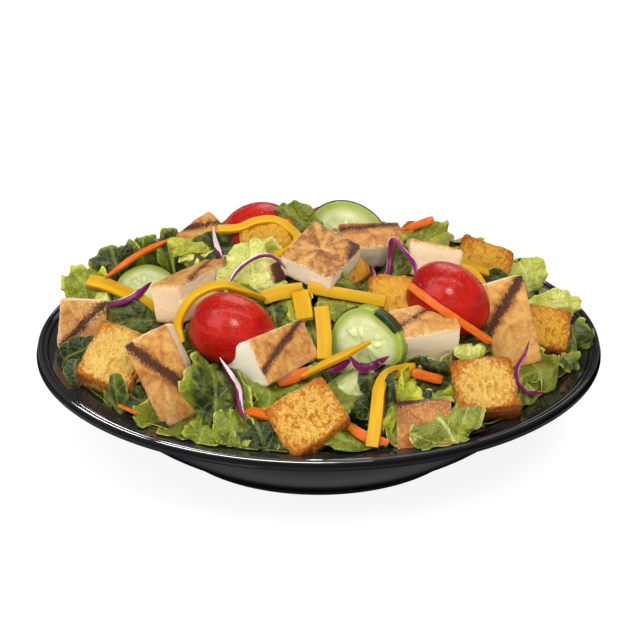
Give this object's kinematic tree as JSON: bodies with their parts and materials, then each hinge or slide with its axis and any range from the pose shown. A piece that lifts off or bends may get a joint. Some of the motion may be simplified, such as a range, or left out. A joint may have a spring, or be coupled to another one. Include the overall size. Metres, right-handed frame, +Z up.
{
  "type": "garden salad",
  "caption": "Prepared garden salad in a shallow round black bowl: mixed lettuce topped with grilled chicken chunks, croutons, small tomatoes, cucumber slices and shreds of cheese and carrot.",
  "frame": {"origin": "under the middle of the bowl, on the surface it stands on", "axes": "+Z up, -Y towards the side the picture shows, +X to that viewer's right"},
  "size_m": [0.22, 0.22, 0.0891],
  "materials": {
    "bowl": "gloss black moulded plastic",
    "lettuce": "moist leaf, from dark green to pale yellow-green",
    "chicken": "grilled, with dark stripes and pale cut sides",
    "crouton": "dry toasted bread",
    "tomato": "smooth wet skin",
    "cucumber": "moist pale flesh inside dark green skin",
    "cheese": "smooth, slightly waxy",
    "carrot": "moist shred",
    "cabbage": "crisp purple shred with pale edges"
  },
  "bodies": {
    "root": {"bowl": "bowl", "cabbage_01": "cabbage", "cabbage_02": "cabbage", "cabbage_03": "cabbage", "cabbage_04": "cabbage", "cabbage_05": "cabbage", "cabbage_06": "cabbage", "cabbage_07": "cabbage", "cabbage_08": "cabbage", "carrot_01": "carrot", "carrot_02": "carrot", "carrot_03": "carrot", "carrot_04": "carrot", "carrot_05": "carrot", "carrot_06": "carrot", "carrot_07": "carrot", "carrot_08": "carrot", "cheese_01": "cheese", "cheese_02": "cheese", "cheese_03": "cheese", "cheese_04": "cheese", "cheese_05": "cheese", "cheese_06": "cheese", "cheese_07": "cheese", "cheese_08": "cheese", "cheese_09": "cheese", "cheese_10": "cheese", "cheese_11": "cheese", "chicken_01": "chicken", "chicken_02": "chicken", "chicken_03": "chicken", "chicken_04": "chicken", "chicken_05": "chicken", "chicken_06": "chicken", "chicken_07": "chicken", "chicken_08": "chicken", "chicken_09": "chicken", "chicken_10": "chicken", "chicken_11": "chicken", "chicken_12": "chicken", "chicken_13": "chicken", "crouton_01": "crouton", "crouton_02": "crouton", "crouton_03": "crouton", "crouton_04": "crouton", "crouton_05": "crouton", "crouton_06": "crouton", "crouton_07": "crouton", "crouton_08": "crouton", "crouton_09": "crouton", "cucumber_01": "cucumber", "cucumber_02": "cucumber", "cucumber_03": "cucumber", "cucumber_04": "cucumber", "cucumber_05": "cucumber", "lettuce_heap": "lettuce", "tomato_01": "tomato", "tomato_02": "tomato", "tomato_03": "tomato", "tomato_04": "tomato"}
  },
  "joints": []
}
